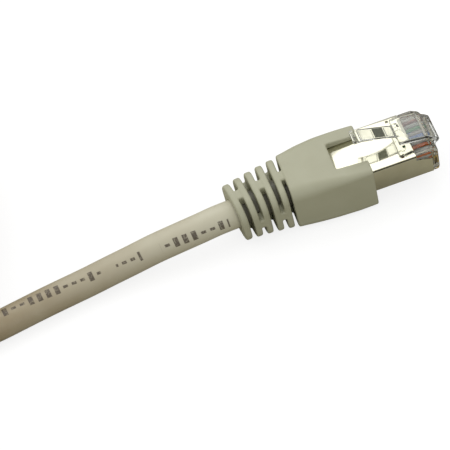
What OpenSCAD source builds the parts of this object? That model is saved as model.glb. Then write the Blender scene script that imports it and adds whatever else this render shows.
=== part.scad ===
// Shielded eight-way network patch cable: two moulded boots, two clear plugs in metal
// shields, and one round jacketed cable that is wound into a tied coil.
// The origin is under the middle of the near plug and its boot, on the surface they lie on.
// +X points out of the near plug's nose, and +Z to the side that carries the latch.

/* [Plug] */
// Width of the plug over its metal shield
plug_w = 11.7; // [11.5:0.1:11.8]
// Height of the plug over its metal shield
plug_h = 6.6; // [6.5:0.1:6.7]
// Length of the clear housing, from its nose to its rear
housing_len = 21.5; // [21:0.1:22]
// Height of the plug's contact side above the surface
lift = 4.2; // [4:0.1:4.4]
// Thickness of the shield's sheet metal
sheet = 0.25; // [0.2:0.05:0.25]
// Distance from one contact to the next
pitch = 1.02; // [1:0.01:1.04]

/* [Latch] */
// Width of the latch from its root to its locking shoulders
latch_w = 6.8; // [6.4:0.1:6.8]
// Width of the lever that a finger presses
lever_w = 3.1; // [2.9:0.1:3.3]
// How far the latch's root stands out in front of the nose
latch_ahead = 1.15; // [1.1:0.05:1.2]

/* [Boot] */
// Length of the plug and its boot, from the latch's root to the last ring
total_len = 44.2; // [44:0.1:45]
// Half of the boot's width at its widest place
boot_half_w = 7.0; // [6.9:0.1:7.1]
// Height of the boot at its highest place
boot_h = 12.8; // [12.6:0.1:13]
// Half of the width of the notch that bares the latch
notch_half_w = 3.45; // [3.4:0.05:3.6]
// Number of ribs on the flexible tail
ring_count = 5; // [5:1:5]
// Distance from one rib to the next
ring_pitch = 2.39; // [2.35:0.01:2.4]
// Thickness of a rib
ring_t = 1.4; // [1.2:0.1:1.4]

/* [Cable] */
// Diameter of the cable's jacket
cable_d = 6.2; // [6:0.1:6.2]
// Diameter of one insulated conductor
wire_d = 0.92; // [0.9:0.01:0.92]

/* [Coil] */
// Radius of the coil's outer turns, to the middle of the cable
coil_outer_r = 36.5; // [36.4:0.1:36.6]
// Layers of turns in the coil
coil_layers = 2; // [2:1:2]

/* [Hidden] */
WIRES = ["white_orange", "orange", "white_green", "blue", "white_blue", "green", "white_brown", "brown"];
WIRE_NODES = [for (side = ["near", "far"], name = WIRES) str(side, "_wire_", name)];
PLUG_PARTS = ["housing", "latch", "shield", "contacts", "load_bar", "foil", "braid", "drain_wire", "boot"];
PLUG_NODES = [for (side = ["near", "far"], name = PLUG_PARTS) str(side, "_", name)];
CORD_NODES = ["cord_lead", "cord_coil", "cord_tail", "coil_tie"];

$fn = 48;
slack = 0.05; // gap between parts that fit into each other
over = 1; // how far a cutting shape runs past a face
wall = sheet + slack;

// Places along the plug, counted back from its nose.
nose_x = total_len / 2 - latch_ahead;
tail_x = -total_len / 2;
housing_rear = nose_x - housing_len;
shield_side_x = nose_x - 1.55;
shield_top_x = nose_x - 4.85;
shield_bottom_x = nose_x - 7.4;
shield_rear = housing_rear - sheet;
boot_front = nose_x - 14.2;
notch_rear = nose_x - 21;
hood_rear = nose_x - 31.1;
top_z = lift + plug_h;

// Housing
nose_slope_len = 1.95;
nose_slope_h = 1.2;
nose_edge = 0.5;
side_drop_rear = 1.5; // the side walls' front top edge slants down from here
side_drop_front = 2.5; // to here
channel_gap = 0.03;
cavity_front = nose_x - 12;
cavity_w = 10.2;
wire_z = lift + 3.9;
wire_end = nose_x - 1.35;
slot_w = 0.4;
slot_front = nose_x - 0.6;
slot_rear = nose_x - 7.2;

// Latch
hinge_x = nose_x - 0.35;
hinge_z = lift + 4.9;
hinge_r = 0.55;
shoulder_x = nose_x - 7.25;

// Boot, as sections of its hood: place along X, half width, lowest, highest, corner radius
HOOD = [
    [boot_front, boot_half_w - 0.15, 0.4, boot_h - 0.95, 1],
    [boot_front - 4, boot_half_w, 0.3, boot_h - 0.6, 1.3],
    [boot_front - 8.8, boot_half_w, 0.15, boot_h - 0.1, 2],
    [boot_front - 12.8, boot_half_w - 0.25, 0, boot_h, 2.5],
    [hood_rear, boot_half_w - 1, 0, boot_h - 0.5, 2.8],
];
slice_t = 0.1;
tail_axis_z = 6.2;
tail_shift = 0.8; // how far the near boot's tail leans sideways
ring_near_half = 6; // half of the rib next to the hood
ring_last_half = 5.6; // half of the last rib
web_w = 2.4;

// Cable inside the boot
jacket_end_x = -6;
jacket_end_z = 7.2;
bore_r = cable_d / 2 + 0.1;
braid_t = 0.25;
barrel_r = cable_d / 2 + braid_t + 0.05;
barrel_t = 0.3;
foil_r = 2.25;
drain_r = 0.2;

// Coil
coil_inner_r = coil_outer_r - cable_d;
coil_x = -110;
coil_y = coil_outer_r - 6.5;
coil_h = coil_layers * cable_d;
tie_w = 8;
tie_t = 0.8;
tie_angle = 135;
far_plug = [coil_x + 12 + tail_x, coil_y - 31, coil_h];

// The cable's route from the near plug to the coil, chosen by hand
LEAD = [
    [jacket_end_x, 0, jacket_end_z], [-8, 0, 7.1], [-10, 0, 6.9], [-12, 0, 6.7], [-14, -0.1, 6.5],
    [-16, -0.3, 6.4], [-18, -0.4, 6.3], [-20, -0.6, 6.2], [-22.1, -0.8, 6.2], [-26, -1, 6.2],
    [-30, -1.3, 6], [-35, -1.5, 5.6], [-40, -1.6, 5], [-45, -1.8, 4.2], [-50, -2.1, 3.6],
    [-55, -2.6, 3.2], [-60, -3.2, 3.1], [-65, -3.9, 3.1], [-70, -4.7, 3.1], [-75, -5.5, 3.1],
    [-81, -6.2, 3.1], [-88, -6.5, 3.1], [-96, -6.5, 3.1],
];

// The cable's route from the coil's top layer into the far plug, chosen by hand
TAIL = [
    [-74.8, 40, 9.3], [-73.6, 34, 9.3], [-73.5, 28, 9.8], [-74.2, 21, 11.6], [-76.8, 14.5, 13.8],
    [-81, 8, 16], [-86.5, 3, 17.4], [-92.5, 0, 18.3], [-98, -1, 18.6], [-102, -1, 18.7],
    [-106, -1, 18.9], [-110, -1, 19.3], [-114.1, -1, 19.6],
];

// ---- Shapes that repeat ----

// A rectangle with round corners, about its middle.
module rounded_rect(w, h, r) {
    square([w - 2 * r, h], center = true);
    square([w, h - 2 * r], center = true);
    for (x = [-1, 1], y = [-1, 1])
        translate([x * (w / 2 - r), y * (h / 2 - r)]) circle(r);
}

// A block from one X to another, centred on Y, between two heights.
module block(x0, x1, w, z0, z1) {
    translate([x0, -w / 2, z0]) cube([x1 - x0, w, z1 - z0]);
}

// A side outline in X and Z, given a width along Y.
module side_profile(w, outline) {
    rotate([90, 0, 0]) linear_extrude(w, center = true) polygon(outline);
}

// A rod along X.
module rod(x0, x1, y, z, r) {
    translate([x0, y, z]) rotate([0, 90, 0]) cylinder(h = x1 - x0, r = r);
}

// A thin slice of the boot at x: a rounded rectangle between two heights.
module slice(x, half_w, z0, z1, r, t) {
    translate([x, 0, (z0 + z1) / 2]) rotate([90, 0, 90]) linear_extrude(t) rounded_rect(2 * half_w, z1 - z0, r);
}

function unit(v) = v / norm(v);
function heading(path, i) = unit(path[min(i + 1, len(path) - 1)] - path[max(i - 1, 0)]);
function ring_of(p, t, r, sides) =
    let (side = unit(cross(t, [0, 0, 1])), up = cross(side, t))
    [for (j = [0:sides - 1]) p + r * (cos(360 * j / sides) * side + sin(360 * j / sides) * up)];

// A round tube of a given radius along a list of points.
module sweep(path, r, sides) {
    last = len(path) - 1;
    polyhedron(
        points = [for (i = [0:last]) each ring_of(path[i], heading(path, i), r, sides)],
        faces = concat(
            [[for (j = [sides - 1:-1:0]) j]],
            [for (i = [0:last - 1], j = [0:sides - 1])
                let (k = (j + 1) % sides)
                [i * sides + j, i * sides + k, (i + 1) * sides + k, (i + 1) * sides + j]],
            [[for (j = [0:sides - 1]) last * sides + j]]
        )
    );
}

// ---- Plug ----

function pin_y(i) = (i - (len(WIRES) - 1) / 2) * pitch;

module housing() {
    color([0.85, 0.88, 0.86, 0.4]) difference() {
        union() {
            block(housing_rear, nose_x - 1, plug_w - 2 * wall, lift + wall, top_z - wall);
            block(shield_bottom_x + slack, nose_x - 1, plug_w - 2 * wall, lift, lift + 1);
            nose();
        }
        block(housing_rear - over, cavity_front, cavity_w, lift + 0.9, top_z - 0.9);
        for (i = [0:len(WIRES) - 1]) {
            rod(cavity_front - over, wire_end + slack, pin_y(i), wire_z, wire_d / 2 + channel_gap);
            translate([0, pin_y(i), 0])
                block(slot_rear, slot_front, slot_w, lift - over, wire_z - wire_d / 2 + 0.2);
        }
        hinge_pocket();
    }
}

// The part of the housing that the shield leaves bare, flush with the shield outside.
module nose() {
    side_profile(plug_w, [
        [shield_top_x + slack, top_z], [nose_x - nose_slope_len, top_z], [nose_x, top_z - nose_slope_h],
        [nose_x, lift + nose_edge], [nose_x - nose_edge, lift], [shield_side_x + slack, lift],
        [shield_side_x + slack, top_z - side_drop_front + slack],
        [shield_top_x + slack, top_z - side_drop_rear + slack],
    ]);
}

// Room in the nose for the latch's root.
module hinge_pocket() {
    w = latch_w + 4 * slack;
    translate([hinge_x, 0, hinge_z]) rotate([90, 0, 0]) cylinder(h = w, r = hinge_r + slack, center = true);
    block(hinge_x - 0.4, nose_x + over, w, hinge_z, top_z);
}

module latch() {
    root_x = nose_x + latch_ahead;
    color([0.9, 0.92, 0.9, 0.5]) {
        side_profile(latch_w, [
            [hinge_x, hinge_z - hinge_r / 2], [hinge_x + 0.6, hinge_z], [hinge_x + 0.8, lift + 5.3],
            [root_x - 0.3, lift + 5.5], [root_x, lift + 6], [root_x - 0.05, lift + 6.4],
            [root_x - 0.6, lift + 7], [root_x - 2.5, lift + 8.3], [shoulder_x, lift + 9.3],
            [shoulder_x, lift + 8.2], [nose_x - 1.9, lift + 7.35], [hinge_x + 0.1, lift + 6.4],
            [hinge_x - 0.15, lift + 5.4],
        ]);
        side_profile(lever_w, [
            [shoulder_x + 1, lift + 9.13], [shoulder_x - 6.9, lift + 11.9], [shoulder_x - 7.7, lift + 11.6],
            [shoulder_x - 8.3, lift + 12.25], [shoulder_x - 8.8, lift + 12.25], [shoulder_x - 8.9, lift + 11.3],
            [shoulder_x - 7.1, lift + 11.1], [shoulder_x - 3, lift + 9.95], [shoulder_x + 1, lift + 8.13],
        ]);
        translate([hinge_x, 0, hinge_z]) rotate([90, 0, 0]) cylinder(h = latch_w, r = hinge_r, center = true);
    }
}

module shield() {
    inner_w = plug_w - 2 * sheet;
    color("gainsboro") {
        difference() {
            block(shield_rear, shield_side_x, plug_w, lift, top_z);
            block(shield_rear + sheet, nose_x, inner_w, lift + sheet, top_z - sheet);
            block(shield_bottom_x, nose_x, inner_w, lift - over, lift + over);
            block(shield_rear - over, shield_rear + over, 8.6, lift + 1, top_z - 1);
            side_profile(plug_w + over, [
                [shield_top_x, top_z - side_drop_rear], [shield_side_x, top_z - side_drop_front],
                [shield_side_x + over, top_z - side_drop_front], [shield_side_x + over, top_z + over],
                [shield_top_x, top_z + over],
            ]);
            fold_grooves();
            catch_windows();
        }
        crimp_barrel();
    }
}

// The shadow gap where the top plate is folded over each side wall.
module fold_grooves() {
    for (side = [-1, 1])
        translate([0, side * (plug_w / 2), 0])
            block(shield_rear - over, shield_top_x + over, sheet, top_z - 0.6, top_z - 0.3);
}

// Windows that catch on the housing, two on each side of the middle.
module catch_windows() {
    for (side = [-1, 1], place = [[1.4, 2.55], [2.5, 4.95]])
        translate([shield_top_x - place[0], side * place[1], top_z])
            cube([0.6, 0.6, 3 * sheet], center = true);
}

// The C-shaped band that grips the folded braid, and the strip that joins it to the shield.
module crimp_barrel() {
    x0 = jacket_end_x - 3.5;
    x1 = jacket_end_x;
    difference() {
        rod(x0, x1, 0, jacket_end_z, barrel_r + barrel_t);
        rod(x0 - over, x1 + over, 0, jacket_end_z, barrel_r);
        block(x0 - over, x1 + over, 1.4, jacket_end_z, top_z + over);
    }
    barrel_bottom = jacket_end_z - barrel_r - barrel_t;
    side_profile(4, [
        [x1 - 0.4, barrel_bottom], [x1 + 0.6, barrel_bottom], [shield_rear + sheet, lift],
        [shield_rear + sheet, lift + 0.3], [x1 + 0.6, barrel_bottom + 0.3], [x1 - 0.4, barrel_bottom + 0.3],
    ]);
}

module contacts() {
    blade_z = lift + 0.45;
    blade_top = wire_z - wire_d / 2 - 0.3;
    color("goldenrod")
        for (i = [0:len(WIRES) - 1])
            translate([0, pin_y(i), 0]) side_profile(slot_w - 2 * slack, [
                [slot_rear + slack, blade_z + 0.4], [slot_front - 0.5, blade_z], [slot_front - slack, blade_z + 0.5],
                [slot_front - slack, blade_top], [slot_front - 1.4, blade_top], [slot_front - 1.7, blade_top + 0.5],
                [slot_front - 2, blade_top], [slot_rear + 2, blade_top], [slot_rear + 1.7, blade_top + 0.5],
                [slot_rear + 1.4, blade_top], [slot_rear + slack, blade_top],
            ]);
}

// The comb that holds the eight conductors side by side.
module load_bar() {
    color([0.9, 0.92, 0.93, 0.6]) difference() {
        block(cavity_front - 3, cavity_front - slack, cavity_w - 0.4, wire_z - 0.9, wire_z + 0.9);
        for (i = [0:len(WIRES) - 1])
            rod(cavity_front - 3 - over, cavity_front + over, pin_y(i), wire_z, wire_d / 2 + channel_gap);
    }
}

// ---- Conductors ----

// Where each conductor leaves the jacket, across and up from the cable's middle.
PAIR_PLACES = [
    [-1.46, 0.48], [-1.46, -0.48], [-0.48, -1.3], [-0.48, 1.3], [0.48, 1.3], [0.48, -1.3], [1.46, -0.48], [1.46, 0.48],
];
function ease(x, x0, x1) = let (s = max(0, min(1, (x - x0) / (x1 - x0)))) (1 - cos(180 * s)) / 2;
function blend(a, b, s) = a + (b - a) * s;
WIRE_STOPS = [jacket_end_x + 0.1, -5, -4.4, -3.8, -3.2, -2.6, -2, -1.4, -0.6, 0.2, 1, 1.8, 2.6, 3.4, 4.2, 5, 6, wire_end];
function wire_route(i) = [for (x = WIRE_STOPS) [
    x,
    blend(PAIR_PLACES[i][0], pin_y(i), ease(x, -5, -1)),
    blend(jacket_end_z + PAIR_PLACES[i][1], wire_z, ease(x, -1.8, 5)),
]];

module wire(i) {
    colours = ["wheat", "darkorange", "honeydew", "royalblue", "lightsteelblue", "seagreen", "linen", "saddlebrown"];
    color(colours[i]) sweep(wire_route(i), wire_d / 2, 8);
}

module foil() {
    color("silver") difference() {
        rod(jacket_end_x + 0.2, jacket_end_x + 1.3, 0, jacket_end_z, foil_r + 0.12);
        rod(jacket_end_x - over, jacket_end_x + 2, 0, jacket_end_z, foil_r);
    }
}

// The braid, folded back over the end of the jacket.
module braid() {
    color("lightgray") difference() {
        rod(jacket_end_x - 3.8, jacket_end_x + 0.3, 0, jacket_end_z, cable_d / 2 + braid_t);
        sweep([for (x = [jacket_end_x - 5, jacket_end_x]) [x, 0, jacket_end_z + 0.05 * (x - jacket_end_x)]],
            cable_d / 2 + 0.03, 32);
        rod(jacket_end_x - over, jacket_end_x + over, 0, jacket_end_z, foil_r + 0.15);
    }
}

// The bare drain wire, bent back over the braid in the gap of the crimp barrel.
module drain_wire() {
    z = jacket_end_z + cable_d / 2 + braid_t + drain_r + 0.02;
    x = jacket_end_x + 0.3 + drain_r + 0.02;
    color("silver") {
        rod(jacket_end_x - 3.5, x, 0, z, drain_r);
        translate([x, 0, z]) sphere(drain_r);
        translate([x, 0, jacket_end_z + foil_r + 0.15]) cylinder(h = z - jacket_end_z - foil_r - 0.15, r = drain_r);
    }
}

// ---- Boot ----

function down_tail(x) = max(0, (hood_rear - x) / (hood_rear - tail_x));
function lean(x, shift) = -shift * pow(down_tail(x), 2);
function tilt(x, shift) = atan(2 * shift * down_tail(x) / (hood_rear - tail_x));
function ring_x(i) = tail_x + ring_t / 2 + (ring_count - 1 - i) * ring_pitch;
function ring_half(i) = blend(ring_near_half, ring_last_half, i / (ring_count - 1));

// Moves a shape from the origin to a rib's middle, and turns it square to the leaning tail.
module at_ring(i, shift) {
    translate([ring_x(i), lean(ring_x(i), shift), tail_axis_z]) rotate(tilt(ring_x(i), shift)) children();
}

// One rib of the tail, numbered from the hood.
module ring(i) {
    rotate([90, 0, 90]) linear_extrude(ring_t, center = true)
        rounded_rect(2 * ring_half(i), 2 * ring_half(i), 2.8 + 0.35 * i);
}

// The two webs in the gap in front of a rib: above and below, or at both sides.
module webs(i) {
    reach = 2 * ring_half(i) - 0.2;
    across = i % 2 == 0 ? [web_w, reach] : [reach, web_w];
    translate([0, -across[0] / 2, -across[1] / 2]) cube([ring_pitch, across[0], across[1]]);
}

module boot(shift, route) {
    color([0.72, 0.71, 0.63]) difference() {
        union() {
            for (i = [0:len(HOOD) - 2]) hull() for (s = [HOOD[i], HOOD[i + 1]])
                slice(s[0] - (s[0] == boot_front ? slice_t : 0), s[1], s[2], s[3], s[4], slice_t, $fn = 32);
            for (i = [0:ring_count - 1])
                at_ring(i, shift) {
                    ring(i);
                    webs(i);
                }
        }
        sweep(route, bore_r, 24);
        block(shield_rear - slack, boot_front + over, plug_w + 2 * slack, lift - slack, top_z + slack);
        block(jacket_end_x - 4.2, shield_rear, 8.4, jacket_end_z - 4, jacket_end_z + 4);
        block(notch_rear, boot_front + over, 2 * notch_half_w, lift + over, boot_h + over);
    }
}

// ---- Cable ----

module cord_lead() color([0.78, 0.74, 0.64]) sweep(LEAD, cable_d / 2, 12);

module cord_tail() color([0.78, 0.74, 0.64]) sweep(TAIL, cable_d / 2, 12);

// The outer shape of the wound turns.
module cord_coil() {
    color([0.78, 0.74, 0.64])
        translate([coil_x, coil_y, 0]) rotate_extrude($fn = 96)
            translate([(coil_inner_r + coil_outer_r) / 2, coil_h / 2])
                rounded_rect(coil_outer_r - coil_inner_r + cable_d, coil_h, cable_d / 2 - 0.1);
}

// The strap that holds the turns together.
module coil_tie() {
    bundle = coil_outer_r - coil_inner_r + cable_d;
    color("dimgray")
        translate([coil_x, coil_y, 0]) rotate(tie_angle)
            translate([(coil_inner_r + coil_outer_r) / 2, 0, (coil_h + tie_t) / 2])
                rotate([90, 0, 0]) linear_extrude(tie_w, center = true) difference() {
                    rounded_rect(bundle + 2 * tie_t, coil_h + tie_t, 3);
                    rounded_rect(bundle, coil_h - tie_t, 2.4);
                }
}

// ---- The two ends ----

// Puts a part of the near plug where the far plug lies, turned to face the other way.
module at_far_end() translate(far_plug) rotate(180) children();

far_bore = [for (x = [jacket_end_x, -12, -18, tail_x - over]) [x, 0, blend(jacket_end_z, tail_axis_z, ease(x, -6, -20))]];

housing();  // near_housing
latch();  // near_latch
shield();  // near_shield
contacts();  // near_contacts
load_bar();  // near_load_bar
foil();  // near_foil
braid();  // near_braid
drain_wire();  // near_drain_wire
boot(tail_shift, LEAD);  // near_boot
at_far_end() housing();  // far_housing
at_far_end() latch();  // far_latch
at_far_end() shield();  // far_shield
at_far_end() contacts();  // far_contacts
at_far_end() load_bar();  // far_load_bar
at_far_end() foil();  // far_foil
at_far_end() braid();  // far_braid
at_far_end() drain_wire();  // far_drain_wire
at_far_end() boot(0, far_bore);  // far_boot
for (i = [0:len(WIRES) - 1]) {
    wire(i);
    at_far_end() wire(i);
}
cord_lead();
cord_coil();
cord_tail();
coil_tie();
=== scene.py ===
"""A shielded network patch cable: the looks of its boots, plugs, conductors and coiled cable.

Lengths are in millimetres until a mesh is made, which turns them into metres.
The near plug is drawn where it lies. The far plug is the same plug, turned half round and moved.
"""

import math

import bmesh
import bpy
import numpy as np
from mathutils import Matrix, Vector


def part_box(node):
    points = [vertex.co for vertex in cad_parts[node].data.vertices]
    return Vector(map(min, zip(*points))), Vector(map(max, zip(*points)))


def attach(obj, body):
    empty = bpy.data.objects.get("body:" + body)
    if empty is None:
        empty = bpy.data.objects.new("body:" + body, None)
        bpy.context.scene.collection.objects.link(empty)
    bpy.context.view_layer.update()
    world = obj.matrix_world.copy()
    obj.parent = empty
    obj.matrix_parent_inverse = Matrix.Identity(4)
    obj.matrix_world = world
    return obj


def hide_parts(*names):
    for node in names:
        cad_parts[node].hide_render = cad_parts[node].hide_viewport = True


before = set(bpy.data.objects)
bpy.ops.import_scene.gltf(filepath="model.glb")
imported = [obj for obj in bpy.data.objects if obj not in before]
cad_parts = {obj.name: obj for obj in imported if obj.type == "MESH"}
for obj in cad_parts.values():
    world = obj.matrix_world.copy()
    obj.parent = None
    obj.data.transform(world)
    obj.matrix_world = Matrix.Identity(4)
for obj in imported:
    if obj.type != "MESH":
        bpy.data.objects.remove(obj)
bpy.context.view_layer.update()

MM = 0.001
SIDES = ("near", "far")
WIRES = ("white_orange", "orange", "white_green", "blue", "white_blue", "green", "white_brown", "brown")


def cad(node):
    """A CAD node's lowest and highest corners, in millimetres."""
    low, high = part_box(node)
    return Vector(low) / MM, Vector(high) / MM


# ---- Sizes, from the frame ----

SHIELD_LOW, SHIELD_HIGH = cad("near_shield")
FAR_SHIELD_LOW, FAR_SHIELD_HIGH = cad("far_shield")
BOOT_LOW, BOOT_HIGH = cad("near_boot")
LATCH_LOW, LATCH_HIGH = cad("near_latch")
HOUSING_LOW, HOUSING_HIGH = cad("near_housing")
COIL_LOW, COIL_HIGH = cad("cord_coil")
BASE_Z = HOUSING_LOW.z
TOP_Z = HOUSING_HIGH.z
MIDDLE_Z = (BASE_Z + TOP_Z) / 2
NOSE_X = HOUSING_HIGH.x
NOSE_HALF_W = SHIELD_HIGH.y
SHIELD_REAR = HOUSING_LOW.x - 0.25

CABLE_D = 6.2
FAR_TURN = Matrix.Translation(
    (
        SHIELD_LOW.x + FAR_SHIELD_HIGH.x,
        SHIELD_LOW.y + FAR_SHIELD_HIGH.y,
        FAR_SHIELD_LOW.z - SHIELD_LOW.z,
    )
) @ Matrix.Rotation(math.pi, 4, "Z")
PLACE = {"near": Matrix.Identity(4), "far": FAR_TURN}


# ---- The cable's route ----

# From inside the near boot to the coil
LEAD = [
    (-6, 0, 7.2), (-8, 0, 7.1), (-10, 0, 6.9), (-12, 0, 6.7), (-14, -0.1, 6.5),
    (-16, -0.3, 6.4), (-18, -0.4, 6.3), (-20, -0.6, 6.2), (-22.1, -0.8, 6.2), (-26, -1, 6.2),
    (-30, -1.3, 6), (-35, -1.5, 5.6), (-40, -1.6, 5), (-45, -1.8, 4.2), (-50, -2.1, 3.6),
    (-55, -2.6, 3.2), (-60, -3.2, 3.1), (-65, -3.9, 3.1), (-70, -4.7, 3.1), (-75, -5.5, 3.1),
    (-81, -6.2, 3.1), (-88, -6.5, 3.1), (-96, -6.5, 3.1),
]  # fmt: skip
# From the coil's top layer into the far boot
TAIL = [
    (-74.8, 40, 9.3), (-73.6, 34, 9.3), (-73.5, 28, 9.8), (-74.2, 21, 11.6), (-76.8, 14.5, 13.8),
    (-81, 8, 16), (-86.5, 3, 17.4), (-92.5, 0, 18.3), (-98, -1, 18.6), (-102, -1, 18.7),
    (-106, -1, 18.9), (-110, -1, 19.3), (-114.1, -1, 19.6),
]  # fmt: skip
JACKET_END = LEAD[0]
COIL_CENTRE = (COIL_LOW + COIL_HIGH) / 2
COIL_OUTER_R = (COIL_HIGH.x - COIL_LOW.x - CABLE_D) / 2
COIL_INNER_R = COIL_OUTER_R - CABLE_D
LOW_LAYER_Z = CABLE_D / 2
HIGH_LAYER_Z = LOW_LAYER_Z + CABLE_D
POINTS_PER_TURN = 32
COIL_POINTS = POINTS_PER_TURN * 15 // 4 - 1
# Where the cable changes place in the coil, in turns. At any one angle, the later turn moves first
FIRST_INWARD = (0.86, 0.97)
CLIMB = (1.82, 1.94)
LAST_OUTWARD = (2.78, 2.9)


def ease(x, x0, x1):
    """From 0 at x0 to 1 at x1, starting and ending level."""
    return (1 - math.cos(math.pi * min(1, max(0, (x - x0) / (x1 - x0))))) / 2


def mix(a, b, share):
    return a + (b - a) * share


def coil_turns():
    """Three and three quarter turns: outer and inner below, then inner and outer above."""
    points = []
    for step in range(COIL_POINTS):
        turn = step / POINTS_PER_TURN
        angle = math.radians(-90) - 2 * math.pi * turn
        inward = ease(turn, *FIRST_INWARD) - ease(turn, *LAST_OUTWARD)
        up = ease(turn, *CLIMB)
        r = mix(COIL_OUTER_R, COIL_INNER_R, inward)
        x = COIL_CENTRE.x + r * math.cos(angle)
        y = COIL_CENTRE.y + r * math.sin(angle)
        points.append((x, y, mix(LOW_LAYER_Z, HIGH_LAYER_Z, up)))
    return points


def smooth_path(points, step=0.8):
    """A Catmull-Rom curve through the points, as an array with a point about every step."""
    p = np.array(points, dtype=float)
    p = np.vstack([2 * p[0] - p[1], p, 2 * p[-1] - p[-2]])
    curve = []
    for a, b, c, d in zip(p, p[1:], p[2:], p[3:]):
        count = max(1, round(np.linalg.norm(c - b) / step))
        for t in np.arange(count) / count:
            curve.append(
                b + 0.5 * t * (c - a + t * (2 * a - 5 * b + 4 * c - d + t * (3 * (b - c) + d - a)))
            )
    curve.append(p[-2])
    return np.array(curve)


# ---- Meshes ----


def new_piece(name, verts, faces, materials, side="near", local=None):
    """A mesh piece from points in a plug's own frame, in millimetres."""
    mesh = bpy.data.meshes.new(name)
    mesh.from_pydata([tuple(PLACE[side] @ Vector(v) * MM) for v in verts], [], [tuple(f) for f in faces])
    for m in materials:
        mesh.materials.append(m)
    if local is not None:
        data = mesh.attributes.new("local", "FLOAT_VECTOR", "POINT")
        data.data.foreach_set("vector", np.asarray(local, dtype=np.float32).ravel())
    mesh.polygons.foreach_set("use_smooth", [True] * len(mesh.polygons))
    mesh.update()
    piece = bpy.data.objects.new(name, mesh)
    bpy.context.collection.objects.link(piece)
    return piece


def tube(name, path, radius, sides, materials, side="near", core=0.0):
    """A round tube with closed ends, where a core shows as a disc of the second material.

    Each point's "local" is its way along, its way round in turns from the top, and zero.
    """
    path = np.asarray(path)
    ahead = np.gradient(path, axis=0)
    ahead /= np.linalg.norm(ahead, axis=1)[:, None]
    across = np.cross(ahead, (0, 0, 1))
    across /= np.linalg.norm(across, axis=1)[:, None]
    up = np.cross(across, ahead)
    along = np.concatenate([[0], np.cumsum(np.linalg.norm(np.diff(path, axis=0), axis=1))])
    verts, local, faces, slots = [], [], [], []

    def add_ring(i, r):
        for j in range(sides):
            a = 2 * math.pi * j / sides
            verts.append(path[i] + r * (math.cos(a) * up[i] + math.sin(a) * across[i]))
            local.append((along[i], (j / sides + 0.5) % 1 - 0.5, 0))

    def join(a, b, slot=0, flip=False):
        for j in range(sides):
            k = (j + 1) % sides
            quad = [a + j, a + k, b + k, b + j]
            faces.append(quad[::-1] if flip else quad)
            slots.append(slot)

    for i in range(len(path)):
        add_ring(i, radius)
        if i:
            join((i - 1) * sides, i * sides, flip=True)
    for end, outer in ((0, 0), (len(path) - 1, (len(path) - 1) * sides)):
        start = len(verts)
        add_ring(end, core if core else radius * 0.5)
        join(outer, start, flip=end == 0)
        cap = [start + j for j in range(sides)]
        faces.append(cap if end else cap[::-1])
        slots.append(1 if core else 0)
    piece = new_piece(name, verts, faces, materials, side, local)
    piece.data.polygons.foreach_set("material_index", slots)
    recalculate(piece)
    return piece


def recalculate(piece):
    """Turns every face of a closed mesh outwards."""
    bm = bmesh.new()
    bm.from_mesh(piece.data)
    bmesh.ops.recalc_face_normals(bm, faces=bm.faces)
    bm.to_mesh(piece.data)
    bm.free()


def smooth_max(a, b, k):
    h = np.maximum(k - np.abs(a - b), 0) / k
    return np.maximum(a, b) + h * h * k / 4


def smooth_min(a, b, k):
    return -smooth_max(-a, -b, k)


def box_field(x, y, half_x, half_y, r):
    """Signed distance to a rectangle with round corners."""
    qx, qy = np.abs(x) - half_x + r, np.abs(y) - half_y + r
    return np.hypot(np.maximum(qx, 0), np.maximum(qy, 0)) + np.minimum(np.maximum(qx, qy), 0) - r


def outline_field(x, z, points):
    """Signed distance to a closed outline, negative inside."""
    nearest = np.full(x.shape, 1e9)
    inside = np.zeros(x.shape, dtype=bool)
    for (x0, z0), (x1, z1) in zip(points, points[1:] + points[:1]):
        ex, ez = x1 - x0, z1 - z0
        share = np.clip(((x - x0) * ex + (z - z0) * ez) / (ex * ex + ez * ez), 0, 1)
        nearest = np.minimum(nearest, np.hypot(x - x0 - share * ex, z - z0 - share * ez))
        if z1 != z0:
            inside ^= ((z0 > z) != (z1 > z)) & (x < x0 + ex * (z - z0) / ez)
    return np.where(inside, -nearest, nearest)


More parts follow.
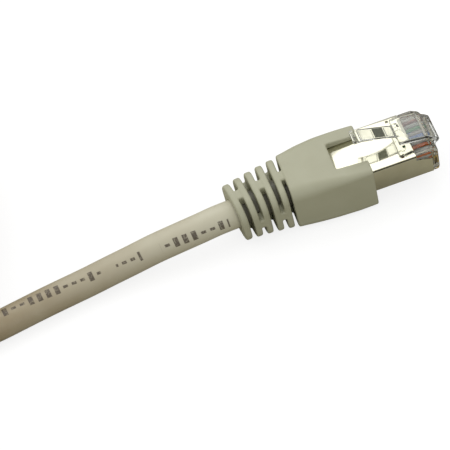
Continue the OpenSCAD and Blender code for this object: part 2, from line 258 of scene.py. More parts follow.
def moulded(field, low, high, step):
    """The skin of a solid whose field is negative inside, as points and four-sided faces."""
    axes = [np.arange(a - 2 * step, b + 3 * step, step) for a, b in zip(low, high)]
    grid = np.meshgrid(*axes, indexing="ij")
    f = field(*grid)
    cells = tuple(n - 1 for n in f.shape)
    total = np.zeros(cells + (3,))
    count = np.zeros(cells)

    def corner(i, j, k):
        return f[i : i + cells[0], j : j + cells[1], k : k + cells[2]]

    for axis in range(3):
        others = [a for a in range(3) if a != axis]
        for p in (0, 1):
            for q in (0, 1):
                start = [0, 0, 0]
                start[others[0]], start[others[1]] = p, q
                end = list(start)
                end[axis] = 1
                a, b = corner(*start), corner(*end)
                crossed = (a < 0) != (b < 0)
                share = np.where(crossed, a / np.where(crossed, a - b, 1), 0)
                for c in range(3):
                    total[..., c] += np.where(crossed, share if c == axis else start[c], 0)
                count += crossed
    used = count > 0
    number = np.full(cells, -1)
    number[used] = np.arange(used.sum())
    origin = np.array([a[0] for a in axes])
    verts = origin + step * (np.argwhere(used) + total[used] / count[used][:, None])
    faces = []
    inside = f < 0
    for axis in range(3):
        n = [s - 1 for s in f.shape]
        window = tuple(slice(0 if a == axis else 1, n[a]) for a in range(3))
        ahead = tuple(slice(1, n[a] + 1) if a == axis else slice(1, n[a]) for a in range(3))
        here, there = inside[window], inside[ahead]
        b_axis, c_axis = (axis + 1) % 3, (axis + 2) % 3
        for mask, flip in ((here & ~there, False), (~here & there, True)):
            at = np.argwhere(mask) + [0 if a == axis else 1 for a in range(3)]
            quad = []
            for db, dc in ((1, 1), (0, 1), (0, 0), (1, 0)):
                cell = at.copy()
                cell[:, b_axis] -= db
                cell[:, c_axis] -= dc
                quad.append(number[tuple(cell.T)])
            quad = np.stack(quad[::-1] if flip else quad, axis=1)
            faces.append(quad)
    return verts, np.concatenate(faces)


# ---- Materials ----


class Nodes:
    """A material's node tree, with short names for what the materials here use."""

    def __init__(self, name):
        self.material = bpy.data.materials.new(name)
        self.material.use_nodes = True
        self.tree = self.material.node_tree
        self.shader = self.tree.nodes["Principled BSDF"]

    def add(self, kind, inputs=(), **settings):
        node = self.tree.nodes.new("ShaderNode" + kind)
        for key, value in settings.items():
            setattr(node, key, value)
        for socket, value in dict(inputs).items():
            self.put(node.inputs[socket], value)
        return node

    def put(self, socket, value):
        if isinstance(value, bpy.types.NodeSocket):
            self.tree.links.new(value, socket)
        else:
            socket.default_value = value

    def set(self, **values):
        for name, value in values.items():
            self.put(self.shader.inputs[name.replace("_", " ")], value)

    def colour(self):
        """What feeds the base colour so far."""
        return self.shader.inputs["Base Color"].links[0].from_socket

    def place(self):
        return self.add("TexCoord").outputs["Object"]

    def local(self):
        node = self.add("Attribute", attribute_name="local")
        return self.add("SeparateXYZ", {0: node.outputs["Vector"]}).outputs

    def noise(self, size_mm, detail=3, vector=None):
        inputs = {"Vector": vector or self.place(), "Scale": 1 / (size_mm * MM), "Detail": detail}
        return self.add("TexNoise", inputs).outputs["Fac"]

    def math(self, operation, a, b=0.0, c=0.0):
        node = self.add("Math", operation=operation)
        for socket, value in zip(node.inputs, (a, b, c)):
            self.put(socket, value)
        return node.outputs[0]

    def remap(self, value, low, high, to_low, to_high):
        node = self.add("MapRange", {0: value, 1: low, 2: high, 3: to_low, 4: to_high})
        return node.outputs[0]

    def blend(self, share, a, b):
        node = self.add("Mix", data_type="RGBA")
        self.put(node.inputs[0], share)
        for socket, value in ((node.inputs[6], a), (node.inputs[7], b)):
            self.put(socket, value if isinstance(value, bpy.types.NodeSocket) else (*value, 1))
        return node.outputs[2]

    def bump(self, height, depth_mm, strength=1.0):
        node = self.add("Bump", {"Height": height, "Distance": depth_mm * MM, "Strength": strength})
        self.put(self.shader.inputs["Normal"], node.outputs["Normal"])


def between(n, value, low, high, soft):
    """A mask that is 1 where value lies between low and high."""
    rise = n.remap(value, low - soft, low + soft, 0, 1)
    fall = n.remap(value, high - soft, high + soft, 1, 0)
    return n.math("MULTIPLY", rise, fall)


def moulded_vinyl(name, colour, shade, roughness):
    """Soft moulded vinyl: cloudy in tone, with a fine satin grain."""
    n = Nodes(name)
    cloud = n.noise(6, 2)
    n.set(
        Base_Color=n.blend(n.remap(cloud, 0.3, 0.7, 0, 1), colour, shade),
        Roughness=n.remap(n.noise(0.8, 3), 0.3, 0.7, roughness - 0.06, roughness + 0.06),
        IOR=1.52,
    )
    n.bump(n.noise(0.12, 4), 0.012)
    return n


# The jacket's print, in millimetres along it. A tick is one bar or dash, and a group is a run of ticks
PRINT_START = 18
PRINT_REPEAT = 54
PRINT_GROUPS = ((0, 14.5), (18.8, 24.5), (28, 50))
PRINT_PITCH = 1.9
TICK_START = 0.12  # as a share of the pitch
TICK_END = 0.66
DASH_HALF_H = 0.016  # in turns round the cable
BAR_HALF_H = 0.052
BAR_SHARE = 0.45  # the random number above which a tick is a bar
PRINT_TURN = 0.25  # how far round from the top the print starts, in turns
PRINT_TWIST = -0.0039  # how far it winds round the cable, in turns for each millimetre
BOOT_MOUTH = 16  # where the jacket leaves the boot


def jacket_material():
    """The cable's jacket, with painted shade that darkens it in uneven patches away from the boot and nearly
    to black inside the boot, and printed bars.
    """
    n = moulded_vinyl("jacket_vinyl", (0.66, 0.64, 0.50), (0.62, 0.595, 0.46), 0.36)
    along, around, _ = n.local()
    base = n.colour()
    # Painted shade: the jacket is blended towards dark brown in uneven patches, rising from the boot to about
    # 72 mm along and easing off past 100 mm.
    patches = n.remap(n.noise(9, 3), 0.3, 0.65, 0.75, 1)
    painted_shade_along = n.math("MULTIPLY", n.remap(along, BOOT_MOUTH + 1, 72, 0.12, 1), patches)
    painted_shade_along = n.math("MULTIPLY", painted_shade_along, n.remap(along, 100, 200, 1, 0.6))
    base = n.blend(painted_shade_along, base, (0.30, 0.23, 0.13))
    # Painted shade: the jacket inside the boot is blended three quarters of the way to near black.
    painted_shade_in_boot = n.remap(along, BOOT_MOUTH - 0.5, BOOT_MOUTH + 0.5, 0.75, 0)
    base = n.blend(painted_shade_in_boot, base, (0.06, 0.055, 0.04))
    tick = n.math("MULTIPLY", along, 1 / PRINT_PITCH)
    fract = n.math("FRACT", tick)
    place = n.math("FRACT", n.math("MULTIPLY", n.math("SUBTRACT", along, PRINT_START), 1 / PRINT_REPEAT))
    words = 0.0
    for start, end in PRINT_GROUPS:
        word = between(n, place, start / PRINT_REPEAT, end / PRINT_REPEAT, 0.002)
        words = n.math("MAXIMUM", words, word)
    ticks = between(n, fract, TICK_START, TICK_END, 0.03)
    random = n.add("TexWhiteNoise", {"W": n.math("FLOOR", tick)}, noise_dimensions="1D").outputs["Value"]
    half_h = n.remap(n.math("GREATER_THAN", random, BAR_SHARE), 0, 1, DASH_HALF_H, BAR_HALF_H)
    wound = n.math("ADD", around, n.math("MULTIPLY_ADD", along, PRINT_TWIST, PRINT_TURN))
    offset = n.math("ABSOLUTE", n.math("SUBTRACT", n.math("FRACT", n.math("ADD", wound, 0.5)), 0.5))
    line = n.math("LESS_THAN", offset, half_h)
    outside = n.math("GREATER_THAN", along, BOOT_MOUTH + 1)
    mask = n.math("MULTIPLY", n.math("MULTIPLY", words, ticks), n.math("MULTIPLY", line, outside))
    worn = n.math("MULTIPLY", mask, n.remap(n.noise(0.35, 4), 0.32, 0.5, 0.45, 0.93))
    n.set(Base_Color=n.blend(worn, base, (0.075, 0.055, 0.035)))
    return n.material


def clear_plastic(name, tint, roughness):
    """Clear moulded polycarbonate with faint flow marks."""
    n = Nodes(name)
    n.set(
        Base_Color=n.blend(n.noise(3, 2), tint, tuple(c * 0.94 for c in tint)),
        Roughness=n.remap(n.noise(0.7, 3), 0.3, 0.7, roughness, roughness + 0.05),
        IOR=1.58,
        Transmission_Weight=1.0,
    )
    n.bump(n.noise(2.5, 1), 0.004, 0.4)
    return n


def metal(name, colour, dull, roughness, grain_mm=0.15, depth_mm=0.002, stretch=(1, 1, 1)):
    """Plated sheet metal, with rolling marks and cloudy patches."""
    n = Nodes(name)
    stretched = n.add("Mapping", {"Vector": n.place(), "Scale": stretch}).outputs[0]
    n.set(
        Base_Color=n.blend(n.remap(n.noise(2.5, 3), 0.35, 0.7, 0, 1), colour, dull),
        Metallic=1.0,
        Roughness=n.remap(n.noise(0.6, 4, stretched), 0.3, 0.7, roughness * 0.7, roughness * 1.5),
    )
    n.bump(n.noise(grain_mm, 3, stretched), depth_mm)
    return n


def shield_material(side):
    """Bright plating, with a painted shadow under the fold where the top plate is folded over each side wall.
    """
    n = metal(f"{side}_plated_shield", (0.77, 0.755, 0.62), (0.72, 0.70, 0.56), 0.10, stretch=(0.15, 1, 1))
    low, high = cad(f"{side}_shield")
    _, y, z = n.add("SeparateXYZ", {0: n.place()}).outputs
    off_middle = n.math("ABSOLUTE", n.math("SUBTRACT", y, (low.y + high.y) / 2 * MM))
    # Painted shadow: a near-black band along each side wall just under the top plate's fold.
    painted_gap_shadow = n.math("GREATER_THAN", off_middle, (high.y - low.y - 0.3) / 2 * MM)
    painted_gap_shadow = n.math("MULTIPLY", painted_gap_shadow, between(n, z, (high.z - 0.62) * MM, (high.z - 0.28) * MM, 0.02 * MM))
    n.set(Base_Color=n.blend(painted_gap_shadow, n.colour(), (0.012, 0.011, 0.009)))
    return n.material


def braid_material():
    """Tinned braid: two sets of strands that cross over each other, with painted shade where the weave sinks.
    """
    n = Nodes("tinned_braid")
    x, y, z = n.add("SeparateXYZ", {0: n.place()}).outputs
    angle = n.math("ARCTAN2", n.math("SUBTRACT", z, JACKET_END[2] * MM), y)
    turns = n.math("MULTIPLY", angle, 8 / math.pi)
    along = n.math("MULTIPLY", x, 1 / (0.9 * MM))
    one = n.math("SINE", n.math("MULTIPLY", n.math("ADD", turns, along), math.pi))
    two = n.math("SINE", n.math("MULTIPLY", n.math("SUBTRACT", turns, along), math.pi))
    weave = n.math("MULTIPLY", one, two)
    # Painted shade: the strands are darker where the weave sinks.
    n.set(
        Base_Color=n.blend(n.remap(weave, -1, 1, 0, 1), (0.35, 0.34, 0.32), (0.78, 0.77, 0.74)),
        Metallic=1.0,
        Roughness=n.remap(weave, -1, 1, 0.45, 0.28),
    )
    n.bump(weave, 0.08)
    return n.material


def insulation_material(name, colour, stripe=None):
    """Conductor insulation, with a coloured line along it on the white ones."""
    n = Nodes(name)
    shade = tuple(c * 0.85 for c in colour)
    base = n.blend(n.remap(n.noise(1.2, 2), 0.35, 0.65, 0, 1), colour, shade)
    if stripe:
        along, around, _ = n.local()
        wound = n.math("FRACT", n.math("ADD", around, n.math("MULTIPLY", along, 0.12)))
        base = n.blend(between(n, wound, 0.3, 0.68, 0.02), base, stripe)
    n.set(Base_Color=base, Roughness=n.remap(n.noise(0.5, 2), 0.3, 0.7, 0.3, 0.45), IOR=1.5)
    n.bump(n.noise(0.2, 2), 0.006)
    return n.material


THREAD_PITCH = 0.55


def strap_material():
    """Woven hook-and-loop strap."""
    n = Nodes("tie_strap")
    along, across, _ = n.local()
    rib_a = n.math("SINE", n.math("MULTIPLY", along, 2 * math.pi / THREAD_PITCH))
    rib_b = n.math("SINE", n.math("MULTIPLY", across, 2 * math.pi / THREAD_PITCH))
    weave = n.math("MULTIPLY", rib_a, rib_b)
    fuzz = n.noise(0.25, 4)
    n.set(
        Base_Color=n.blend(n.remap(fuzz, 0.3, 0.7, 0, 1), (0.035, 0.035, 0.037), (0.085, 0.085, 0.09)),
        Roughness=n.remap(weave, -1, 1, 0.95, 0.75),
        Sheen_Weight=0.3,
    )
    n.bump(n.math("ADD", n.math("MULTIPLY", weave, 0.5), fuzz), 0.12)
    return n.material


# The finger pads on the latch's lever: where each lies along X
PAD_REAR = (6.4, 9.2)
PAD_DARK = (9.45, 11.7)
PAD_FRONT = (11.9, 13.9)
PAD_HALF_W = 1.3
PAD_SOFT = 0.05


def latch_material():
    """The latch's clear plastic, with two frosted finger pads and a dark one between them."""
    n = clear_plastic("clear_latch", (0.95, 0.96, 0.93), 0.03)
    x, y, up = n.local()
    middle = between(n, y, -PAD_HALF_W, PAD_HALF_W, PAD_SOFT)
    on_top = n.math("GREATER_THAN", up, 0.5)
    inside = n.math("MULTIPLY", middle, on_top)
    frost = n.math("MAXIMUM", between(n, x, *PAD_REAR, PAD_SOFT), between(n, x, *PAD_FRONT, PAD_SOFT))
    frost = n.math("MULTIPLY", frost, inside)
    dark = n.math("MULTIPLY", between(n, x, *PAD_DARK, PAD_SOFT), inside)
    base = n.colour()
    rough = n.shader.inputs["Roughness"].links[0].from_socket
    n.set(
        Base_Color=n.blend(dark, base, (0.005, 0.006, 0.004)),
        Roughness=n.math("ADD", rough, n.math("MULTIPLY", frost, 0.35)),
    )
    return n.material


BOOT_VINYL = moulded_vinyl("boot_vinyl", (0.435, 0.432, 0.31), (0.41, 0.405, 0.285), 0.42).material
JACKET = jacket_material()
CLEAR_HOUSING = clear_plastic("clear_housing", (0.93, 0.94, 0.90), 0.02).material
CLEAR_COMB = clear_plastic("clear_comb", (0.84, 0.87, 0.85), 0.12).material
CLEAR_LATCH = latch_material()
GOLD = metal("gold_contacts", (0.95, 0.68, 0.26), (0.86, 0.58, 0.20), 0.16).material
COPPER = metal("bare_copper", (0.90, 0.48, 0.30), (0.78, 0.38, 0.22), 0.3).material
FOIL = metal("shield_foil", (0.82, 0.83, 0.85), (0.70, 0.71, 0.73), 0.2, grain_mm=0.5, depth_mm=0.05).material
TINNED = metal("tinned_wire", (0.72, 0.71, 0.69), (0.60, 0.59, 0.57), 0.3).material
BRAID = braid_material()
STRAP = strap_material()
WHITE = (0.60, 0.60, 0.55)
HUES = {
    "orange": (0.90, 0.20, 0.02),
    "green": (0.03, 0.42, 0.10),
    "blue": (0.02, 0.20, 0.75),
    "brown": (0.30, 0.07, 0.025),
}


# ---- The cable ----

ROUTE = smooth_path(LEAD + coil_turns() + TAIL)
ROUTE[:, 2] = np.maximum(ROUTE[:, 2], CABLE_D / 2)  # the curve between the points stays on the surface
# The strap round the coil's bundle
TIE_ANGLE = math.radians(135)
TIE_W = 8.0
TIE_T = 0.42
TIE_CORNER_R = 3.0
TIE_HALF_W = CABLE_D + TIE_T / 2 + 0.06
TIE_HALF_H = CABLE_D - 0.02
TIE_MIDDLE_Z = CABLE_D + 0.24
TIE_RAMP = 1.2
TIE_LAP = 3.2
TIE_EDGE = 0.15


def make_cable():
    cable = tube("cable_jacket", ROUTE, CABLE_D / 2, 36, [JACKET])
    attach(cable, "root")
    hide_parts("cord_lead", "cord_coil", "cord_tail")
    return cable


def tie_line():
    """The strap's middle line across the bundle: once round, then up a ramp and over itself on top."""
    loop = []
    for quarter in range(4):
        corner_x = (TIE_HALF_W - TIE_CORNER_R) * (1 if quarter in (0, 3) else -1)
        corner_z = (TIE_HALF_H - TIE_CORNER_R) * (1 if quarter in (0, 1) else -1)
        for step in range(10):
            a = math.pi / 2 * (quarter + step / 9)
            x = corner_x + TIE_CORNER_R * math.cos(a)
            loop.append((x, TIE_MIDDLE_Z + corner_z + TIE_CORNER_R * math.sin(a)))
    first = loop.index(max(loop[:10], key=lambda point: point[1]))
    loop = loop[first:] + loop[: first + 1]
    x, top = loop[-1]
    loop.append((x - TIE_RAMP, top + TIE_T * 0.55))
    loop.append((x - TIE_RAMP - TIE_LAP, top + TIE_T))
    return smooth_path([(x, 0, z) for x, z in loop], 0.4)


def make_tie():
    """A strap round the bundle. Each point's "local" is its way along, its way across and its face."""
    line = tie_line()
    ahead = np.gradient(line, axis=0)
    ahead /= np.linalg.norm(ahead, axis=1)[:, None]
    out = np.cross(ahead, (0, 1, 0))
    out *= np.sign(np.einsum("ij,ij->i", out, line - [0, 0, TIE_MIDDLE_Z]).mean())
    along = np.concatenate([[0], np.cumsum(np.linalg.norm(np.diff(line, axis=0), axis=1))])
    half_w = TIE_W / 2
    middle = np.linspace(-half_w + 0.5, half_w - 0.5, 9)
    across = np.concatenate([[-half_w, -half_w + TIE_EDGE], middle, [half_w - TIE_EDGE, half_w]])
    rows = [(y, face) for face in (1, -1) for y in (across if face > 0 else across[::-1])]
    verts, local, faces = [], [], []
    for k in range(len(line)):
        for y, face in rows:
            thinner = 0.45 if abs(y) == half_w else 1
            verts.append(line[k] + [0, y, 0] + out[k] * face * TIE_T / 2 * thinner)
            local.append((along[k], y, face))
    n = len(rows)
    for k in range(len(line) - 1):
        for j in range(n):
            faces.append([k * n + j, k * n + (j + 1) % n, (k + 1) * n + (j + 1) % n, (k + 1) * n + j])
    faces += [list(range(n)), list(range(len(verts) - n, len(verts)))[::-1]]
    turn = Matrix.Translation((COIL_CENTRE.x, COIL_CENTRE.y, 0)) @ Matrix.Rotation(TIE_ANGLE, 4, "Z")
    shift = Vector(((COIL_INNER_R + COIL_OUTER_R) / 2, 0, 0))
    verts = [turn @ (Vector(v) + shift) for v in verts]
    tie = new_piece("coil_strap", verts, faces, [STRAP], local=local)
    recalculate(tie)
    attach(tie, "root")
    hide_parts("coil_tie")
    return tie


# ---- The boots ----

# Sections of the hood: place along X, half width, lowest, highest, corner radius
HOOD_FRONT = SHIELD_HIGH.x - 12.65
HOOD = [
    (HOOD_FRONT - 17.1, 6.15, 0, 12.4, 2.5),
    (HOOD_FRONT - 12.8, 6.75, 0, 12.8, 2.5),
    (HOOD_FRONT - 8.8, 7.0, 0.15, 12.7, 2.0),
    (HOOD_FRONT - 4, 7.0, 0.3, 12.2, 1.3),
    (HOOD_FRONT, 6.85, 0.4, 11.85, 1.0),
]
HOOD_REAR = HOOD[0][0]
TAIL_X = HOOD_FRONT - 28.85
# The cut-out in the hood's top that bares the latch
NOTCH_REAR = HOOD_FRONT - 6.8
NOTCH_HALF_W = 3.45
NOTCH_FLOOR_Z = 5.2
# The ribbed tail
RING_COUNT = 5
RING_PITCH = 2.39
RING_T = 1.4
RING_AXIS_Z = 6.2
RING_HALF = (6.0, 5.6)
RING_CORNER_R = 2.8
RING_CORNER_STEP = 0.35
WEB_HALF_W = 1.2
LEAN = {"near": 0.8, "far": 0.0}  # how far the tail's end is bent towards -Y
# The hollows for the cable, the plug and the shield's crimp barrel
BORE_R = CABLE_D / 2 + 0.06
PLUG_HALF_H = 3.35
BARREL_HALF_W = 4.2
BARREL_HALF_H = 4.0
BARREL_HALF_L = 4.8
BARREL_X = SHIELD_REAR - 4.6
SOFT_EDGE = 0.42


def hood_profile(x, column):
    """One measure of the hood along X, with its corners eased over a few millimetres."""
    places = [s[0] for s in HOOD]
    values = [s[column] for s in HOOD]
    steps = np.arange(places[0] - 4, places[-1] + 4, 0.1)
    plain = np.interp(steps, places, values)
    window = np.hanning(35)
    eased = np.convolve(np.pad(plain, 17, mode="edge"), window / window.sum(), mode="valid")
    return np.interp(x, steps, eased)


def boot_field(side):
    bore = np.array([p for p in LEAD if p[0] >= TAIL_X - 1])[::-1]

    def field(x, y, z):
        half_w, low, high, corner = (hood_profile(x, c) for c in (1, 2, 3, 4))
        body = box_field(y, z - (low + high) / 2, half_w, (high - low) / 2, corner)
        body = smooth_max(body, x - HOOD_FRONT, SOFT_EDGE)
        body = smooth_max(body, HOOD_REAR - x, 0.4)
        down_tail = np.maximum(0, HOOD_REAR - x) / (HOOD_REAR - TAIL_X)
        lean = -LEAN[side] * down_tail**2
        tilt = 2 * LEAN[side] * down_tail / (HOOD_REAR - TAIL_X)
        tilted_x = x + tilt * (y - lean)
        for i in range(RING_COUNT):
            ring_x = TAIL_X + RING_T / 2 + (RING_COUNT - 1 - i) * RING_PITCH
            half = mix(*RING_HALF, i / (RING_COUNT - 1))
            square = box_field(y - lean, z - RING_AXIS_Z, half, half, RING_CORNER_R + RING_CORNER_STEP * i)
            ring = smooth_max(square, np.abs(tilted_x - ring_x) - RING_T / 2, 0.45)
            body = smooth_min(body, ring, 0.1)
            reach = half - 0.1
            sizes = (WEB_HALF_W, reach) if i % 2 == 0 else (reach, WEB_HALF_W)
            web = box_field(y - lean, z - RING_AXIS_Z, *sizes, 0.3)
            web = np.maximum(web, np.abs(tilted_x - ring_x - RING_PITCH / 2) - RING_PITCH / 2)
            body = smooth_min(body, web, 0.3)
        across = y - np.interp(x, bore[:, 0], bore[:, 1]) * (side == "near")
        up = z - np.interp(x, bore[:, 0], bore[:, 2])
        cut = np.hypot(across, up) - BORE_R
        plug = box_field(y, z - MIDDLE_Z, NOSE_HALF_W + 0.05, PLUG_HALF_H, 0.1)
        cut = np.minimum(cut, np.maximum(plug, SHIELD_REAR - 0.05 - x))
        barrel = box_field(y, z - JACKET_END[2], BARREL_HALF_W, BARREL_HALF_H, 0.3)
        cut = np.minimum(cut, np.maximum(barrel, np.abs(x - BARREL_X) - BARREL_HALF_L))
        notch = smooth_max(np.abs(y) - NOTCH_HALF_W, NOTCH_REAR - x, 0.5)
        cut = np.minimum(cut, np.maximum(notch, NOTCH_FLOOR_Z - z))
        return smooth_max(body, -cut, 0.22)

    return field


def make_boot(side):
    verts, faces = moulded(boot_field(side), BOOT_LOW, BOOT_HIGH, 0.2)
    boot = new_piece(f"{side}_boot_moulding", verts, faces, [BOOT_VINYL], side)
    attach(boot, "root")
    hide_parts(f"{side}_boot")


# ---- The latches ----

HINGE_X = NOSE_X - 0.35
HINGE_Z = BASE_Z + 4.9
HINGE_R = 0.55
SHOULDER_X = NOSE_X - 7.25
LATCH_HALF_W = 3.4
LEVER_HALF_W = 1.55
# Two points on the lever's top, which rises evenly from the shoulders to its tail
LEVER_FRONT = (SHOULDER_X + 1, BASE_Z + 9.13)
LEVER_REAR = (SHOULDER_X - 6.9, BASE_Z + 11.9)


def lever_top_z(x):
    slope = (LEVER_REAR[1] - LEVER_FRONT[1]) / (LEVER_FRONT[0] - LEVER_REAR[0])
    return LEVER_FRONT[1] + (LEVER_FRONT[0] - x) * slope


def latch_field(x, y, z):
    root_x = LATCH_HIGH.x
    wide = outline_field(x, z, [
        (HINGE_X, HINGE_Z - 0.27), (HINGE_X + 0.6, HINGE_Z), (HINGE_X + 0.8, BASE_Z + 5.3),
        (root_x - 0.3, BASE_Z + 5.5), (root_x, BASE_Z + 6), (root_x - 0.05, BASE_Z + 6.4),
        (root_x - 0.6, BASE_Z + 7), (root_x - 2.5, BASE_Z + 8.3), (SHOULDER_X, BASE_Z + 9.3),
        (SHOULDER_X, BASE_Z + 8.2), (NOSE_X - 1.9, BASE_Z + 7.35), (HINGE_X + 0.1, BASE_Z + 6.4),
        (HINGE_X - 0.15, BASE_Z + 5.4),
    ])  # fmt: skip
    wide = smooth_max(wide, np.abs(y) - LATCH_HALF_W, 0.5)
    lever_top = lever_top_z(x)
    lever = outline_field(x, z, [
        LEVER_FRONT, LEVER_REAR, (SHOULDER_X - 7.7, BASE_Z + 11.6),
        (SHOULDER_X - 8.2, BASE_Z + 12.25), (SHOULDER_X - 8.85, BASE_Z + 12.25),
        (SHOULDER_X - 8.9, BASE_Z + 11.2), (SHOULDER_X - 7.1, BASE_Z + 11.1),
        (SHOULDER_X - 3, BASE_Z + 9.95), (SHOULDER_X + 1, BASE_Z + 8.3),
    ])  # fmt: skip
    lever = smooth_max(lever, np.abs(y) - LEVER_HALF_W, 0.25)
    hollow = np.maximum(np.abs(y) - PAD_HALF_W, np.maximum(x - SHOULDER_X - 0.9, SHOULDER_X - 7 - x))
    lever = smooth_max(lever, -np.maximum(hollow, lever_top - 0.22 - z), 0.1)
    for rear, front in (PAD_REAR, PAD_FRONT):
        pad = box_field(x - (rear + front) / 2, y, (front - rear) / 2, PAD_HALF_W - 0.1, 0.2)
        pad = np.maximum(pad, np.abs(z - lever_top + 0.3) - 0.28)
        lever = smooth_min(lever, pad, 0.08)
    pivot = np.hypot(x - HINGE_X, z - HINGE_Z) - HINGE_R
    pivot = smooth_max(pivot, np.abs(y) - LATCH_HALF_W, 0.2)
    return smooth_min(smooth_min(wide, lever, 0.5), pivot, 0.15)


def make_latch(side):
    """Each point's "local" is its place along X and Y, and 1 on the lever's upper skin or 0 below it."""
    verts, faces = moulded(latch_field, LATCH_LOW, LATCH_HIGH, 0.11)
    up = (verts[:, 2] > lever_top_z(verts[:, 0]) - 0.4).astype(float)
    local = np.stack([verts[:, 0], verts[:, 1], up], axis=1)
    latch = new_piece(f"{side}_latch_moulding", verts, faces, [CLEAR_LATCH], side, local)
    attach(latch, f"{side}_latch")
    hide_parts(f"{side}_latch")


# ---- The clear housings ----

PIN_PITCH = 1.02
LAST_PIN = len(WIRES) - 1
WALL = 0.3  # how far the body is inside the shield's outer faces
BODY_HALF_H = 3.3
NOSE_TOP_X = NOSE_X - 4.8  # where the nose comes out of the shield, on top and on the sides
NOSE_SIDE_X = NOSE_X - 1.5
SLOT_HALF_W = 0.2
SLOT_H = 3.64


def housing_field(x, y, z):
    nose = outline_field(x, z, [
        (NOSE_TOP_X, TOP_Z), (NOSE_X - 1.95, TOP_Z), (NOSE_X, TOP_Z - 1.2),
        (NOSE_X, BASE_Z + 0.5), (NOSE_X - 0.5, BASE_Z), (NOSE_SIDE_X, BASE_Z),
        (NOSE_SIDE_X, TOP_Z - 2.45), (NOSE_TOP_X, TOP_Z - 1.45),
    ])  # fmt: skip
    side = np.abs(y) - NOSE_HALF_W
    nose = smooth_max(smooth_max(nose, side, 0.3), smooth_max(side, x - NOSE_X, 1.1), 0.05)
    core = box_field(y, z - MIDDLE_Z, NOSE_HALF_W - WALL, BODY_HALF_H - WALL, 0.2)
    core = np.maximum(core, np.maximum(HOUSING_LOW.x - x, x - NOSE_X + 1))
    pad = box_field(y, z - BASE_Z - 0.5, NOSE_HALF_W - WALL, 0.5, 0.15)
    pad = np.maximum(pad, np.maximum(NOSE_X - 7.35 - x, x - NOSE_X + 1))
    body = np.minimum(smooth_min(nose, core, 0.05), pad)
    cavity = box_field(y, z - MIDDLE_Z, 5.1, 2.4, 0.4)
    cut = np.maximum(cavity, x - NOSE_X + 12)
    pin = (y / PIN_PITCH + LAST_PIN / 2).round().clip(0, LAST_PIN) - LAST_PIN / 2
    slot = np.maximum(x - NOSE_X + 0.6, NOSE_X - 7.2 - x)
    slot = np.maximum(slot, np.abs(y - pin * PIN_PITCH) - SLOT_HALF_W)
    cut = np.minimum(cut, np.maximum(slot, z - BASE_Z - SLOT_H))
    socket = np.hypot(x - HINGE_X, z - HINGE_Z) - HINGE_R - 0.05
    pocket = np.minimum(socket, np.maximum(HINGE_X - 0.4 - x, HINGE_Z - z))
    cut = np.minimum(cut, smooth_max(pocket, np.abs(y) - LATCH_HALF_W - 0.1, 0.1))
    return smooth_max(body, -cut, 0.12)


def make_housing(side):
    step = 0.135
    verts, faces = moulded(housing_field, HOUSING_LOW, HOUSING_HIGH, step)
    housing = new_piece(f"{side}_clear_body", verts, faces, [CLEAR_HOUSING], side)
    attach(housing, "root")
    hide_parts(f"{side}_housing")


# ---- The conductors ----

WIRE_D = 0.92
CORE_R = 0.24
WIRE_Z = BASE_Z + 3.9
WIRE_END = NOSE_X - 1.35
# Along X, where the conductors fan out sideways into a row, and where the row rises or sinks to its level
FAN = (-5, -1)
LEVELLING = (-1.8, 5)
# Where each conductor leaves the jacket, across and up from the cable's middle
PAIR_PLACES = (
    (-1.46, 0.48), (-1.46, -0.48), (-0.48, -1.3), (-0.48, 1.3),
    (0.48, 1.3), (0.48, -1.3), (1.46, -0.48), (1.46, 0.48),
)  # fmt: skip


def insulation(name):
    if name.startswith("white_"):
        return insulation_material("insulation_" + name, WHITE, HUES[name.removeprefix("white_")])
    return insulation_material("insulation_" + name, HUES[name])


def wire_path(place, pin_y):
    """From the jacket's end into the comb and on to the contacts."""
    start_x, _, start_z = JACKET_END
    path = []
    for x in np.concatenate([np.arange(start_x + 0.1, 6, 0.35), [WIRE_END - 1, WIRE_END]]):
        y = mix(place[0], pin_y, ease(x, *FAN))
        path.append((x, y, mix(start_z + place[1], WIRE_Z, ease(x, *LEVELLING))))
    return path


def make_wires():
    for i, name in enumerate(WIRES):
        skin = insulation(name)
        path = wire_path(PAIR_PLACES[i], (i - LAST_PIN / 2) * PIN_PITCH)
        for side in SIDES:
            wire = tube(f"{side}_conductor_{name}", path, WIRE_D / 2, 20, [skin, COPPER], side, core=CORE_R)
            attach(wire, "root")
            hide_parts(f"{side}_wire_{name}")


# ---- The CAD nodes that stay ----

WELD_DISTANCE = 2e-6
FLAT_ANGLE = math.radians(1)
EDGE_ANGLE = math.radians(35)


def dress(node, material, bevel_mm):
    """Gives a CAD node its material, and rounds its edges a little."""
    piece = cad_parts[node]
    piece.data.materials.clear()
    piece.data.materials.append(material)
    piece.data.polygons.foreach_set("use_smooth", [True] * len(piece.data.polygons))
    weld = piece.modifiers.new("weld", "WELD")
    weld.merge_threshold = WELD_DISTANCE
    flat = piece.modifiers.new("flat", "DECIMATE")
    flat.decimate_type = "DISSOLVE"
    flat.angle_limit = FLAT_ANGLE
    bevel = piece.modifiers.new("bevel", "BEVEL")
    bevel.width = bevel_mm * MM
    bevel.segments = 2
    bevel.limit_method = "ANGLE"
    bevel.angle_limit = EDGE_ANGLE
    bevel.harden_normals = True


def dress_plug(side):
    dress(f"{side}_shield", shield_material(side), 0.07)
    dress(f"{side}_contacts", GOLD, 0.03)
    dress(f"{side}_load_bar", CLEAR_COMB, 0.08)
    dress(f"{side}_foil", FOIL, 0.02)
    dress(f"{side}_braid", BRAID, 0.03)
    dress(f"{side}_drain_wire", TINNED, 0.02)


# ---- The room, the lights and the camera ----

FLOOR_HALF = 2.5
FLOOR_SEEN = (0.28, 0.28, 0.28, 1)
FLOOR_GLOW = 0.8
FLOOR_BOUNCED = (0.37, 0.35, 0.275, 1)


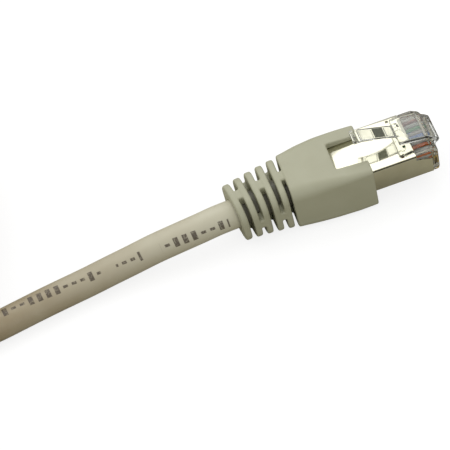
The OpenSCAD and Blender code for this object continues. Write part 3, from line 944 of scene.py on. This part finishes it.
def make_floor():
    """A pale floor. The camera sees it brighter than it lights the object."""
    corners = [(-1, -1), (1, -1), (1, 1), (-1, 1)]
    mesh = bpy.data.meshes.new("floor")
    mesh.from_pydata([(x * FLOOR_HALF, y * FLOOR_HALF, 0) for x, y in corners], [], [(0, 1, 2, 3)])
    n = Nodes("floor")
    n.tree.nodes.remove(n.shader)
    seen = n.add("BsdfDiffuse", {"Color": FLOOR_SEEN})
    glow = n.add("Emission", {"Color": (1, 1, 1, 1), "Strength": FLOOR_GLOW})
    bounced = n.add("BsdfDiffuse", {"Color": FLOOR_BOUNCED})
    both = n.add("AddShader", {0: seen.outputs[0], 1: glow.outputs[0]})
    camera_ray = n.add("LightPath").outputs["Is Camera Ray"]
    floor_mix = n.add("MixShader", {0: camera_ray, 1: bounced.outputs[0], 2: both.outputs[0]})
    output = next(node for node in n.tree.nodes if node.type == "OUTPUT_MATERIAL")
    n.put(output.inputs["Surface"], floor_mix.outputs[0])
    mesh.materials.append(n.material)
    floor = bpy.data.objects.new("floor", mesh)
    bpy.context.collection.objects.link(floor)


WORLD_COLOUR = (1, 1, 0.99, 1)
WORLD_STRENGTH = 0.74
# Each light's name, place in metres, size in metres and power in watts
SOFTBOXES = (
    ("softbox_back", (0.06, 0.34, 0.46), 0.46, 0.70),
    ("softbox_left", (-0.35, 0.1, 0.45), 0.3, 0.4),
)


def make_lights():
    world = bpy.data.worlds.new("world")
    bpy.context.scene.world = world
    world.use_nodes = True
    background = world.node_tree.nodes["Background"]
    background.inputs["Color"].default_value = WORLD_COLOUR
    background.inputs["Strength"].default_value = WORLD_STRENGTH
    for name, place, size, power in SOFTBOXES:
        light = bpy.data.lights.new(name, "AREA")
        light.size = size
        light.energy = power
        lamp = bpy.data.objects.new(name, light)
        lamp.location = place
        lamp.rotation_euler = (-Vector(place)).to_track_quat("-Z", "Y").to_euler()
        bpy.context.collection.objects.link(lamp)


CAMERA_PLACE = Vector((-34.117, -215.820, 287.711))
CAMERA_AZIMUTH = -2.518
CAMERA_ELEVATION = 52.853
CAMERA_ROLL = -17.413
SENSOR_W = 36
LENS = 138.3


def make_camera():
    """Looks down on the near plug from the side, rolled so that the cable runs down to the left."""
    azimuth, elevation, roll = (math.radians(a) for a in (CAMERA_AZIMUTH, CAMERA_ELEVATION, CAMERA_ROLL))
    flat = math.cos(elevation)
    back = Vector((math.sin(azimuth) * flat, -math.cos(azimuth) * flat, math.sin(elevation)))
    level = Vector((math.cos(azimuth), math.sin(azimuth), 0))
    upright = back.cross(level)
    right = math.cos(roll) * level + math.sin(roll) * upright
    up = back.cross(right)
    data = bpy.data.cameras.new("camera")
    data.sensor_width = SENSOR_W
    data.lens = LENS
    data.clip_start = 0.01
    camera = bpy.data.objects.new("camera", data)
    turn = Matrix((right, up, back)).transposed().to_4x4()
    camera.matrix_world = Matrix.Translation(CAMERA_PLACE * MM) @ turn
    bpy.context.collection.objects.link(camera)
    bpy.context.scene.camera = camera


cable = make_cable()
tie = make_tie()
for side in SIDES:
    make_boot(side)
    make_latch(side)
    make_housing(side)
    dress_plug(side)
make_wires()
make_floor()
make_lights()
make_camera()
bpy.context.scene.view_settings.view_transform = "Standard"
bpy.context.scene.cycles.max_bounces = 20
bpy.context.scene.cycles.transmission_bounces = 20
